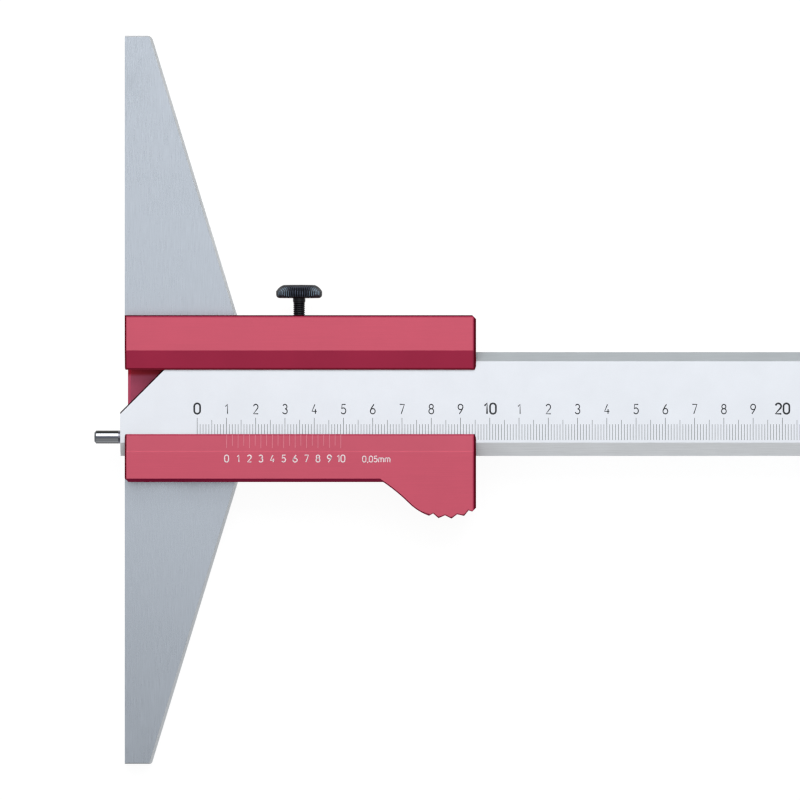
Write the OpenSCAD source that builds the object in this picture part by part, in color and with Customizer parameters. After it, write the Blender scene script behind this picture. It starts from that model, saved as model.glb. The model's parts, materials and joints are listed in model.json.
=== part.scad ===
/* [Measuring range] */
// Greatest depth that can be read
measuring_range = 300; // [200:10:400]
// Depth at which the gauge is drawn
shown_reading = 10.1; // [2:0.05:60]

/* [Beam] */
// Height of the beam across its graduated face
beam_height = 35.5; // [32:0.5:42]
// Thickness of the beam
beam_thickness = 10; // [9:0.5:14]
// Width of the bevel along the upper front edge
upper_beam_bevel = 3.15; // [2:0.05:4]
// Width of the bevel along the lower front edge
lower_beam_bevel = 4.55; // [3:0.05:5]
// Slope of both front bevels, in degrees from the graduated face
beam_bevel_slope = 35; // [20:1:40]
// Chamfer on both back edges of the beam
beam_back_chamfer = 0.5; // [0.2:0.1:1]
// Leg of the 45 degree cut at the upper corner of the measuring end
beam_end_cut = 20.6; // [10:0.2:22]
// Chamfer on both corners of the far end
beam_far_chamfer = 1.2; // [0.5:0.1:3]
// Length of the beam past the stop screw's head
beam_tail = 3.5; // [2:0.5:20]

/* [Measuring pin] */
// Diameter of the free part of the pin
pin_d = 4.5; // [3:0.1:6]
// Free length of the pin, to its tip
pin_free = 8.95; // [5:0.05:20]
// Chamfer round the tip
pin_tip_chamfer = 0.6; // [0.2:0.1:1]
// Height of the pin's axis above the lower edge of the beam
pin_height = 6.45; // [5:0.05:9]
// Diameter of the shank inside the beam
pin_shank_d = 3.6; // [2.5:0.1:4.4]
// Length of the shank inside the beam
pin_shank_l = 18; // [12:1:30]
// Distance of the grub screw from the beam's end
pin_screw_x = 9; // [5:0.5:11]

/* [Slider] */
// Length of the slider along the beam
slider_length = 120; // [110:1:150]
// Wall below the beam
lower_wall = 8.8; // [8:0.1:12]
// Wall above the gib strip
upper_wall = 10.8; // [9:0.1:16]
// Metal between the beam and the bridge
web = 2.6; // [2:0.1:5]
// Height of the lips above the graduated face
lip_height = 3; // [2:0.1:5]
// Reach of the lower lip over the beam, from its lower edge
lower_lip_reach = 7.45; // [6:0.05:8]
// Reach of the upper lip over the beam, from its upper edge
upper_lip_reach = 6.05; // [4:0.05:8]
// Width of the bevel that carries the vernier
vernier_bevel = 6; // [4:0.1:8]
// Width of the bevel on the upper lip
upper_bevel = 6.6; // [4:0.1:8]
// Thickness of both lips at their edges
lip_edge = 0.4; // [0.2:0.1:0.8]
// Setback of the slider's end behind the measuring face
face_setback = 0.45; // [0.2:0.05:1]
// Setback of the floor behind the slider's end
floor_setback = 0.7; // [0.4:0.1:2]
// Chamfer on the floor's edge at the measuring end
floor_chamfer = 1; // [0.4:0.1:2]
// Chamfer along the lower front edge
lower_edge = 1.2; // [0.5:0.1:1.5]
// Chamfer along the upper front edge
upper_edge = 0.4; // [0.2:0.1:1.5]
// Chamfer along both back edges
back_edge = 1; // [0.5:0.1:2]
// Chamfer round the end at the bridge
near_edge = 0.6; // [0.2:0.05:0.6]
// Chamfer round the far end
far_edge = 0.8; // [0.3:0.1:1.2]
// Cut at the corners of the outline
corner_cut = 1.3; // [0.5:0.1:2]

/* [Thumb rest] */
// Drop of the thumb rest below the slider
thumb_drop = 12.55; // [9:0.05:14]
// Radius of its round nose
thumb_r = 18.3; // [16:0.1:22]
// Distance of the nose's centre from the far end
thumb_inset = 10; // [8:0.1:12]
// Distance of the ramp's start from the far end
thumb_start = 31.7; // [29:0.1:36]
// Radius of the hollow ramp that leads down to the nose
thumb_hollow_r = 60; // [40:1:90]
// Number of grip notches
notch_count = 4; // [2:1:5]
// Angle between grip notches
notch_pitch = 13.9; // [11:0.1:15]
// Turn of the middle of the notches from straight down
notch_turn = 5; // [-8:0.5:6]
// Depth of a grip notch
notch_depth = 1.15; // [0.5:0.05:1.5]
// Setback of the thumb rest from the slider's back
thumb_back = 4; // [1:0.5:8]
// Chamfer round the thumb rest
thumb_edge = 0.4; // [0.2:0.1:0.8]
// Cut at its lower far corner
thumb_corner = 0.8; // [0.5:0.1:3]

/* [Bridge] */
// Length of the bridge, along its measuring faces
bridge_length = 250; // [180:5:350]
// Width of the bridge at its ends
bridge_end = 9.2; // [6:0.1:14]
// Slope of the long back edges, in degrees
bridge_taper = 17; // [12:0.5:19]
// Thickness of the bridge
bridge_thickness = 7; // [6:0.5:10]
// Height of the bridge's middle above the pin's axis
bridge_middle = 12.75; // [11:0.05:15]
// Chamfer along the slanting front edges
bridge_chamfer = 0.9; // [0.4:0.1:1.5]
// Chamfer on the end edges
bridge_end_chamfer = 0.4; // [0.2:0.1:0.8]
// Radius of the upper end's outer corner
bridge_upper_round = 2; // [1:0.1:3]
// Radius of the lower end's outer corner
bridge_lower_round = 0.8; // [0.5:0.1:3]
// Length of the relief between the two measuring faces
relief_length = 31; // [28:1:40]
// Depth of that relief
relief_depth = 1.5; // [1.2:0.1:2.5]

/* [Gib strip] */
// Thickness of the gib strip
gib_thickness = 1.6; // [1.2:0.1:2.5]
// How much shorter the strip is than the slider, at each end
gib_inset = 1; // [0.5:0.1:5]
// Distance between the two gib screws
gib_screw_spacing = 80; // [60:1:84]

/* [Lock screw] */
// Distance of the lock screw from the slider's end at the bridge
lock_place = 59.5; // [55:0.5:65]
// Diameter of the knurled head
knob_d = 15.8; // [12:0.1:20]
// Height of the knurled head
knob_h = 4.5; // [4:0.1:8]
// Diameter of the flat on top of the head
knob_top_d = 10.8; // [8:0.1:11]
// Height of the head's sloping crown
knob_crown = 2.2; // [1:0.1:2.4]
// Swell of the crown past a straight slope
knob_swell = 0.3; // [0.1:0.05:0.4]
// Rounding under the head
knob_round = 1.2; // [0.4:0.1:1.4]
// Gap between the head and the slider when locked
knob_gap = 5.9; // [3:0.1:9]
// Number of knurls
knurl_count = 60; // [40:2:72]
// Depth of the knurls
knurl_depth = 0.3; // [0.15:0.05:0.4]
// Length of the brass pad under the screw
pad_l = 3; // [2:0.1:5]

/* [Fasteners] */
// Thread diameter of the lock, gib and bridge screws
screw_d = 4; // [3.5:0.1:4.2]
// Head diameter of the countersunk bridge screws
csk_head_d = 8; // [7.5:0.1:8.6]
// Distance of the near bridge screws from the measuring face
bridge_screw_near = 9; // [8:0.5:10]
// Distance of the far bridge screws from the measuring face
bridge_screw_far = 31; // [30:0.5:33]
// Length of the bridge screws
bridge_screw_l = 12; // [10:0.5:14]
// Diameter of the bridge dowels
dowel_d = 4; // [3:0.5:5]
// Length of the bridge dowels
dowel_l = 10; // [9:0.5:11]
// Thread diameter of the pin's grub screw and the stop screw
small_screw_d = 3; // [2.5:0.1:3.5]
// Head diameter of the stop screw
stop_head_d = 5.5; // [5:0.1:6.5]
// Head height of the stop screw
stop_head_h = 2; // [1.4:0.1:2.4]

/* [Fits] */
// Clearance between the beam and the slider, on each face
slide_gap = 0.1; // [0.05:0.01:0.15]
// Clearance round a screw or pin in its bore
bore_gap = 0.05; // [0.02:0.01:0.08]
// Depth of a sunk head or end below its surface
sink = 0.2; // [0.1:0.05:0.5]

/* [Hidden] */
$fn = 64;

// Past every face, so that a cut leaves no skin
over = 1;
hexagon = 6;

beam_front = beam_thickness / 2;
beam_back = -beam_front;
beam_bottom = -pin_height;
beam_top = beam_height - pin_height;
beam_middle = (beam_top + beam_bottom) / 2;

channel_front = beam_front + slide_gap;
channel_back = beam_back - slide_gap;
channel_bottom = beam_bottom - slide_gap;
gib_bottom = beam_top + slide_gap;
gib_top = gib_bottom + gib_thickness;
channel_top = gib_top + slide_gap;

slider_bottom = channel_bottom - lower_wall;
slider_top = channel_top + upper_wall;
slider_near = face_setback;
slider_far = slider_near + slider_length;
slider_front = beam_front + lip_height;
bridge_front = channel_back - web;
slider_back = bridge_front - bridge_thickness;
lower_lip = beam_bottom + lower_lip_reach;
upper_lip = beam_top - upper_lip_reach;
vernier_crease = lower_lip - vernier_bevel;
upper_crease = upper_lip + upper_bevel;
lip_corner = channel_front + lip_edge;

// Place of the measuring faces along the beam
face_x = shown_reading - pin_free;

// Centre of the thumb rest's round nose, and the ramp's start as seen from there
nose_x = slider_far - thumb_inset;
nose_y = slider_bottom - thumb_drop + thumb_r;
ramp_start = [thumb_inset - thumb_start, slider_bottom - nose_y];
start_reach = norm(ramp_start);
// Centre of the hollow ramp, which runs through its start and touches the nose
hollow_reach = thumb_r + thumb_hollow_r;
hollow_cosine = (start_reach ^ 2 + hollow_reach ^ 2 - thumb_hollow_r ^ 2) / (2 * start_reach * hollow_reach);
hollow_turn = atan2(ramp_start[1], ramp_start[0]) + acos(hollow_cosine);
hollow_x = nose_x + hollow_reach * cos(hollow_turn);
hollow_y = nose_y + hollow_reach * sin(hollow_turn);
corner_y = nose_y - sqrt(thumb_r * thumb_r - thumb_inset * thumb_inset) + thumb_corner;

// Half the straight middle of the bridge, a little inside the slider's walls
bridge_inner = 3;
bridge_shoulder = min(slider_top - bridge_middle, bridge_middle - slider_bottom) - bridge_inner;
bridge_tip = bridge_length / 2;
// Steps round each outer corner
round_steps = 5;
bridge_width = bridge_end + (bridge_tip - bridge_shoulder) * tan(bridge_taper);

upper_screw_y = (channel_top + slider_top) / 2;
lower_screw_y = (channel_bottom + slider_bottom) / 2;
dowel_x = (bridge_screw_near + bridge_screw_far) / 2;
// One place along X and Y for each bridge screw
bridge_screw_places = [
    [bridge_screw_near, upper_screw_y],
    [bridge_screw_far, upper_screw_y],
    [bridge_screw_near, lower_screw_y],
    [bridge_screw_far, lower_screw_y]
];
csk_depth = (csk_head_d - screw_d) / 2;
screw_socket_d = screw_d * 0.72;

lock_x = slider_near + lock_place;
gib_screw_x = [
    slider_near + (slider_length - gib_screw_spacing) / 2,
    slider_near + (slider_length + gib_screw_spacing) / 2
];
gib_back = channel_back + slide_gap;
gib_front = beam_front - upper_beam_bevel * tan(beam_bevel_slope) - sink;
gib_length = slider_length - 2 * gib_inset;
// Small dog point of a gib screw, in a dimple of the strip
dog_d = 2.4;
dog_l = 0.6;

knob_bottom = slider_top + knob_gap;
// The knurls' sides would meet this far outside the head, so their crests stay round
knurl_land = 0.06;
pad_d = screw_d * 0.78;
// Slack between the lock screw's tip and its pad
tip_slack = 0.02;
collar_d = screw_d + 0.3;
collar_l = 1.3;

// The far end of the slider meets the stop screw's head at the greatest depth
stop_slack = 0.3;
stop_x = measuring_range - pin_free + slider_far + stop_slack + stop_head_d / 2;
beam_length = stop_x + stop_head_d / 2 + beam_tail;
stop_shank_l = beam_thickness * 0.55;
slot_w = 0.8;

// A profile in Y and Z, drawn out along X
module along_x(length) {
    rotate([90, 0, 90])
        linear_extrude(length) children();
}

// A pin from the origin towards +Y
module along_y() {
    rotate([-90, 0, 0]) children();
}

// Cutter for a 45 degree chamfer on an edge through the origin, along X
module edge_cutter(length, leg) {
    rotate([45, 0, 0])
        cube([length, leg * sqrt(2), leg * sqrt(2)], center = true);
}

// Half space beyond the plane through the origin that faces the given angle in plan
module beyond(angle, size, depth) {
    rotate([0, 0, angle])
        translate([0, -size / 2, -depth / 2])
            cube([size, size, depth]);
}

module hex_socket(across, depth) {
    cylinder(h = depth, d = across / cos(180 / hexagon), $fn = hexagon);
}

module beam_section() {
    upper_fall = upper_beam_bevel * tan(beam_bevel_slope);
    lower_fall = lower_beam_bevel * tan(beam_bevel_slope);
    polygon([
        [beam_bottom + lower_beam_bevel, beam_front],
        [beam_bottom, beam_front - lower_fall],
        [beam_bottom, beam_back + beam_back_chamfer],
        [beam_bottom + beam_back_chamfer, beam_back],
        [beam_top - beam_back_chamfer, beam_back],
        [beam_top, beam_back + beam_back_chamfer],
        [beam_top, beam_front - upper_fall],
        [beam_top - upper_beam_bevel, beam_front]
    ]);
}

module beam() {
    big = 4 * beam_height;
    color("gainsboro")
    difference() {
        along_x(beam_length) beam_section();
        translate([beam_end_cut, beam_top, 0]) beyond(135, big, big);
        translate([beam_length, beam_top - beam_far_chamfer, 0]) beyond(45, big, big);
        translate([beam_length, beam_bottom + beam_far_chamfer, 0]) beyond(-45, big, big);
        translate([-over, 0, 0])
            rotate([0, 90, 0])
                cylinder(h = pin_shank_l + over + sink, d = pin_shank_d + 2 * bore_gap);
        translate([pin_screw_x, 0, beam_back - over])
            cylinder(h = beam_front + over, d = small_screw_d + 2 * bore_gap);
        translate([stop_x, beam_middle, beam_back - over])
            cylinder(h = stop_shank_l + over + sink, d = small_screw_d + 2 * bore_gap);
    }
}

module measuring_pin() {
    color("lightsteelblue") {
        translate([-pin_free, 0, 0])
            rotate([0, 90, 0]) {
                cylinder(h = pin_tip_chamfer, d1 = pin_d - 2 * pin_tip_chamfer, d2 = pin_d);
                translate([0, 0, pin_tip_chamfer])
                    cylinder(h = pin_free - pin_tip_chamfer, d = pin_d);
            }
        rotate([0, 90, 0]) cylinder(h = pin_shank_l, d = pin_shank_d);
    }
}

module pin_grub_screw() {
    length = beam_front - pin_shank_d / 2 - sink;
    color("dimgray")
    translate([pin_screw_x, 0, beam_back + sink])
        difference() {
            cylinder(h = length, d = small_screw_d);
            translate([0, 0, -over]) hex_socket(small_screw_d / 2, over + length / 2);
        }
}

module stop_screw() {
    color("silver")
    translate([stop_x, beam_middle, beam_back]) {
        cylinder(h = stop_shank_l, d = small_screw_d);
        difference() {
            translate([0, 0, -stop_head_h]) cylinder(h = stop_head_h, d = stop_head_d);
            translate([-stop_head_d, -slot_w / 2, -stop_head_h - over])
                cube([2 * stop_head_d, slot_w, over + stop_head_h * 0.45]);
        }
    }
}

module slider_section() {
    polygon([
        [lower_lip, channel_front],
        [lower_lip, lip_corner],
        [vernier_crease, slider_front],
        [slider_bottom + lower_edge, slider_front],
        [slider_bottom, slider_front - lower_edge],
        [slider_bottom, slider_back + back_edge],
        [slider_bottom + back_edge, slider_back],
        [slider_top - back_edge, slider_back],
        [slider_top, slider_back + back_edge],
        [slider_top, slider_front - upper_edge],
        [slider_top - upper_edge, slider_front],
        [upper_crease, slider_front],
        [upper_lip, lip_corner],
        [upper_lip, channel_front],
        [channel_top, channel_front],
        [channel_top, channel_back],
        [channel_bottom, channel_back],
        [channel_bottom, channel_front]
    ]);
}

// A layer of the thumb rest: its outline shrinks by the two insets from bottom to top
module thumb_layer(height, inset_low, inset_high) {
    seat = slider_bottom + lower_edge + thumb_edge;
    difference() {
        union() {
            intersection() {
                translate([nose_x, nose_y, 0])
                    cylinder(h = height, r1 = thumb_r - inset_low, r2 = thumb_r - inset_high);
                translate([nose_x - thumb_r, nose_y - thumb_r, 0])
                    cube([thumb_r + thumb_inset, seat - nose_y + thumb_r, height]);
            }
            difference() {
                linear_extrude(height)
                    polygon([
                        [hollow_x, hollow_y],
                        [nose_x + (seat - nose_y) / tan(hollow_turn), seat],
                        [hollow_x, seat]
                    ]);
                translate([hollow_x, hollow_y, 0])
                    cylinder(
                        h = height,
                        r1 = thumb_hollow_r + inset_low,
                        r2 = thumb_hollow_r + inset_high
                    );
            }
        }
        for (i = [0 : notch_count - 1]) {
            turn = notch_turn + (i - (notch_count - 1) / 2) * notch_pitch - 90;
            translate([nose_x, nose_y, 0])
                rotate([0, 0, turn])
                    translate([thumb_r - inset_high - notch_depth, 0, -over])
                        rotate([0, 0, -45])
                            cube([thumb_r, thumb_r, height + 2 * over]);
        }
    }
}

module thumb_rest() {
    low = slider_back + thumb_back;
    translate([0, 0, low]) {
        thumb_layer(thumb_edge, thumb_edge, 0);
        translate([0, 0, thumb_edge])
            thumb_layer(slider_front - low - 2 * thumb_edge, 0, 0);
        translate([0, 0, slider_front - low - thumb_edge])
            thumb_layer(thumb_edge, 0, thumb_edge);
    }
}

// The front edges of one end of the slider, as lines in Y and Z
front_edges = [
    [[slider_bottom - thumb_drop, slider_front], [vernier_crease, slider_front]],
    [[vernier_crease, slider_front], [lower_lip, lip_corner]],
    [[upper_lip, lip_corner], [upper_crease, slider_front]],
    [[upper_crease, slider_front], [slider_top, slider_front]]
];

module end_chamfer(x, leg) {
    for (edge = front_edges) {
        run = edge[1] - edge[0];
        middle = (edge[0] + edge[1]) / 2;
        translate([x, middle[0], middle[1]])
            rotate([atan2(run[1], run[0]), 0, 0])
                rotate([0, 0, 90])
                    edge_cutter(norm(run) + leg, leg);
    }
}

module slider_body() {
    big = 4 * slider_length;
    tapped = screw_d + 2 * bore_gap;
    color("indianred")
    translate([face_x, 0, 0])
    difference() {
        union() {
            translate([slider_near, 0, 0]) along_x(slider_length) slider_section();
            thumb_rest();
        }
        // Seat of the bridge across the back
        translate([-over, slider_bottom - over, slider_back - over])
            cube([
                bridge_width + over + bore_gap,
                slider_top - slider_bottom + 2 * over,
                bridge_thickness + over
            ]);
        // Setback and chamfer of the floor at the measuring end
        translate([-over, channel_bottom, slider_back - over])
            cube([
                slider_near + floor_setback + over,
                channel_top - channel_bottom,
                channel_back - slider_back + 2 * over
            ]);
        translate([slider_near + floor_setback, (channel_bottom + channel_top) / 2, channel_back])
            rotate([0, 0, 90])
                edge_cutter(channel_top - channel_bottom, floor_chamfer);
        end_chamfer(slider_near, near_edge);
        end_chamfer(slider_far, far_edge);
        translate([slider_far, slider_top - corner_cut, 0]) beyond(45, big, big);
        translate([slider_far, corner_y, 0]) beyond(-45, big, big);
        translate([slider_near, slider_bottom + corner_cut, 0]) beyond(-135, big, big);
        // Bores of the lock screw and the gib screws
        for (x = concat(lock_x, gib_screw_x))
            translate([x, channel_top - over, 0])
                along_y() cylinder(h = upper_wall + 2 * over, d = tapped);
        for (place = bridge_screw_places)
            translate([place[0], place[1], bridge_front - over])
                cylinder(h = bridge_screw_l - bridge_thickness + over + sink, d = tapped);
        for (y = [upper_screw_y, lower_screw_y])
            translate([dowel_x, y, bridge_front - over])
                cylinder(h = dowel_l - bridge_thickness + over + 2 * sink, d = dowel_d + 2 * bore_gap);
    }
}

// Points round the bridge's outer corner, from the slanting edge to the end; side is 1 at +Y, -1 at -Y
function bridge_corner(radius, side) = [
    for (i = [0 : round_steps])
        let (turn = bridge_taper + i * (90 - bridge_taper) / round_steps)
        let (heart = [bridge_end - radius / tan(45 + bridge_taper / 2), bridge_tip - radius])
        let (place = heart + radius * [cos(turn), sin(turn)])
        [place[0], side * place[1]]
];

function backwards(points) = [for (i = [len(points) - 1 : -1 : 0]) points[i]];

// Outline of the bridge in plan: measuring faces at x = 0, relieved between them
module bridge_outline() {
    half_relief = relief_length / 2;
    polygon(concat(
        [[0, -bridge_tip]],
        backwards(bridge_corner(bridge_lower_round, -1)),
        [[bridge_width, -bridge_shoulder], [bridge_width, bridge_shoulder]],
        bridge_corner(bridge_upper_round, 1),
        [
            [0, bridge_tip],
            [0, half_relief],
            [relief_depth, half_relief - relief_depth],
            [relief_depth, relief_depth - half_relief],
            [0, -half_relief]
        ]
    ));
}

module bridge() {
    edge_length = (bridge_tip - bridge_shoulder) / cos(bridge_taper);
    hole = screw_d + 2 * bore_gap;
    color("slategray")
    translate([face_x, bridge_middle, 0])
    difference() {
        translate([0, 0, slider_back])
            linear_extrude(bridge_thickness) bridge_outline();
        for (side = [0, 1])
            mirror([0, side, 0]) {
                translate([bridge_end, bridge_tip, bridge_front])
                    rotate([0, 0, bridge_taper - 90])
                        edge_cutter(2 * edge_length - 2 * bridge_inner, bridge_chamfer);
                translate([0, bridge_tip, bridge_front])
                    edge_cutter(3 * bridge_end, bridge_end_chamfer);
            }
        for (place = bridge_screw_places)
            translate([place[0], place[1] - bridge_middle, slider_back]) {
                translate([0, 0, -over]) cylinder(h = bridge_thickness + 2 * over, d = hole);
                translate([0, 0, sink])
                    cylinder(h = csk_depth, d1 = csk_head_d, d2 = screw_d);
                translate([0, 0, -over]) cylinder(h = over + sink, d = csk_head_d);
            }
        for (y = [upper_screw_y, lower_screw_y])
            translate([dowel_x, y - bridge_middle, slider_back - over])
                cylinder(h = bridge_thickness + 2 * over, d = dowel_d + 2 * bore_gap);
    }
}

module bridge_screw(place) {
    color("gray")
    translate([face_x + place[0], place[1], slider_back + sink])
        difference() {
            union() {
                cylinder(h = csk_depth, d1 = csk_head_d, d2 = screw_d);
                cylinder(h = bridge_screw_l - sink, d = screw_d);
            }
            translate([0, 0, -over]) hex_socket(screw_socket_d, over + csk_depth);
        }
}

module bridge_dowel(y) {
    color("lightslategray")
    translate([face_x + dowel_x, y, slider_back + sink])
        cylinder(h = dowel_l, d = dowel_d);
}

module gib_strip() {
    color("darkgoldenrod")
    translate([face_x + slider_near + gib_inset, gib_bottom, gib_back])
        difference() {
            cube([gib_length, gib_thickness, gib_front - gib_back]);
            for (x = gib_screw_x)
                translate([x - slider_near - gib_inset, gib_thickness - dog_l, -gib_back])
                    along_y() cylinder(h = dog_l + over, d = dog_d + 2 * bore_gap);
        }
}

module gib_screw(x) {
    length = slider_top - 2 * sink - gib_top;
    color("dimgray")
    translate([face_x + x, gib_top, 0])
        along_y()
            difference() {
                union() {
                    translate([0, 0, -dog_l]) cylinder(h = dog_l + over, d = dog_d);
                    cylinder(h = length, d = screw_d);
                }
                translate([0, 0, length - screw_d / 2]) hex_socket(screw_d / 2, screw_d);
            }
}

module pressure_pad() {
    color("goldenrod")
    translate([face_x + lock_x, gib_top, 0])
        along_y() cylinder(h = pad_l, d = pad_d);
}

module knurl_outline() {
    half = 180 / knurl_count;
    crest = knob_d / 2 + knurl_land;
    root = knob_d / 2 - knurl_depth;
    polygon([
        for (i = [0 : knurl_count - 1])
            for (tooth = [[0, crest], [half, root]])
                tooth[1] * [cos(2 * half * i + tooth[0]), sin(2 * half * i + tooth[0])]
    ]);
}

module knob_section() {
    edge = knob_d / 2;
    crown_start = [edge, knob_h - knob_crown];
    crown_end = [knob_top_d / 2, knob_h];
    crown_run = crown_end - crown_start;
    crown_out = [crown_run[1], -crown_run[0]] / norm(crown_run);
    polygon(concat(
        [[0, 0]],
        [for (a = [0 : 45 : 90]) [edge, knob_round] + knob_round * [sin(a) - 1, -cos(a)]],
        [crown_start, (crown_start + crown_end) / 2 + knob_swell * crown_out, crown_end, [0, knob_h]]
    ));
}

module lock_screw() {
    tip = gib_top + pad_l + tip_slack;
    color("darkslategray")
    translate([face_x + lock_x, 0, 0]) {
        translate([0, tip, 0])
            along_y() cylinder(h = knob_bottom - tip + over, d = screw_d);
        translate([0, knob_bottom - collar_l, 0])
            along_y() cylinder(h = collar_l + over, d = collar_d);
        translate([0, knob_bottom, 0])
            along_y()
                intersection() {
                    rotate_extrude() knob_section();
                    linear_extrude(knob_h) knurl_outline();
                }
    }
}

beam();
measuring_pin();
pin_grub_screw();
stop_screw();
slider_body();
bridge();
gib_strip();
gib_screw(gib_screw_x[0]);  // gib_screw_near
gib_screw(gib_screw_x[1]);  // gib_screw_far
bridge_screw(bridge_screw_places[0]);  // bridge_screw_1
bridge_screw(bridge_screw_places[1]);  // bridge_screw_2
bridge_screw(bridge_screw_places[2]);  // bridge_screw_3
bridge_screw(bridge_screw_places[3]);  // bridge_screw_4
bridge_dowel(upper_screw_y);  // bridge_dowel_upper
bridge_dowel(lower_screw_y);  // bridge_dowel_lower
pressure_pad();
lock_screw();
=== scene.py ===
"""A vernier depth gauge on a pale floor: finishes, graduations and a cut thread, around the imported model."""

from __future__ import annotations

import json
import logging
import math
from collections.abc import Callable, Sequence
from dataclasses import dataclass, field
from enum import Enum

import bmesh
import bpy
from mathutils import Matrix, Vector


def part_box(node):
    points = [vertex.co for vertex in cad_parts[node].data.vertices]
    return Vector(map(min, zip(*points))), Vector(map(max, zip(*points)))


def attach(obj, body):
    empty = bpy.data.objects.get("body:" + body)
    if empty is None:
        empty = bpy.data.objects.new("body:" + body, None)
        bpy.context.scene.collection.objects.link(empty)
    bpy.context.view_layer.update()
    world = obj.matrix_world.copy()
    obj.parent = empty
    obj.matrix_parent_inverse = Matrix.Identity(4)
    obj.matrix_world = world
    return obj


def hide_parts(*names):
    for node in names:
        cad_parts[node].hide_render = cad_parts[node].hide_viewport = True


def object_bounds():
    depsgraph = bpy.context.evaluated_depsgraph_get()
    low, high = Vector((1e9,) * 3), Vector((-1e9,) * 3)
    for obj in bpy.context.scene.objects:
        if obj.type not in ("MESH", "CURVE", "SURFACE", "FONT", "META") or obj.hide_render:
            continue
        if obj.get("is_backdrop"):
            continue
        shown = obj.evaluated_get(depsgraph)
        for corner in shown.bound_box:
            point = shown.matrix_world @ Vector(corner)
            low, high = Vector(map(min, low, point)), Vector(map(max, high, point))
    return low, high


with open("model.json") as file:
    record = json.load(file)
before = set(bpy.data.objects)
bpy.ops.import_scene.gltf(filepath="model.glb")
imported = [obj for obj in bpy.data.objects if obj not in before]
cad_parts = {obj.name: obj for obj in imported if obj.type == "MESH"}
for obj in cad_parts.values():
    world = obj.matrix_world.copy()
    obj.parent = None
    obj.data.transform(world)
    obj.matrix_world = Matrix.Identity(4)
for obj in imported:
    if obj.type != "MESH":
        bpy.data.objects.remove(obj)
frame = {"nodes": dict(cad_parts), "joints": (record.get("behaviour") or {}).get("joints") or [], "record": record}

LOG = logging.getLogger("depth_gauge")
MM = 0.001
Colour = tuple[float, float, float]
Point = tuple[float, float]
Fade = tuple[float, float]
Radius = Callable[[float, float], float]
Socket = bpy.types.NodeSocket
Piece = bpy.types.Object


class Axis(Enum):
    """A direction of the gauge, by the index of its coordinate."""

    ALONG = 0
    ACROSS = 1
    OUT = 2


class Grain(Enum):
    """How a finish is laid: the stretch of its marks along X, Y and Z."""

    EVEN = (1.0, 1.0, 1.0)
    ALONG_BEAM = (45.0, 1.0, 1.0)
    ALONG_BRIDGE = (1.0, 26.0, 1.0)
    ROUND_SCREW = (6.0, 1.0, 6.0)


class Sense(Enum):
    """What a mask reads: a place on the piece, the way that a face looks, or a direction in the room."""

    PLACE = "Object"
    FACING = "Normal"
    ROOM = "Generated"


class Sum(Enum):
    """Arithmetic on masks and measures, by Blender's name for it."""

    PLUS = "ADD"
    LESS = "SUBTRACT"
    TIMES = "MULTIPLY"
    LARGER = "MAXIMUM"
    SIZE = "ABSOLUTE"
    ROOT = "SQRT"


class Part(Enum):
    """What is selected in edit mode."""

    FACE = "FACE"
    EDGE = "EDGE"


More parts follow.
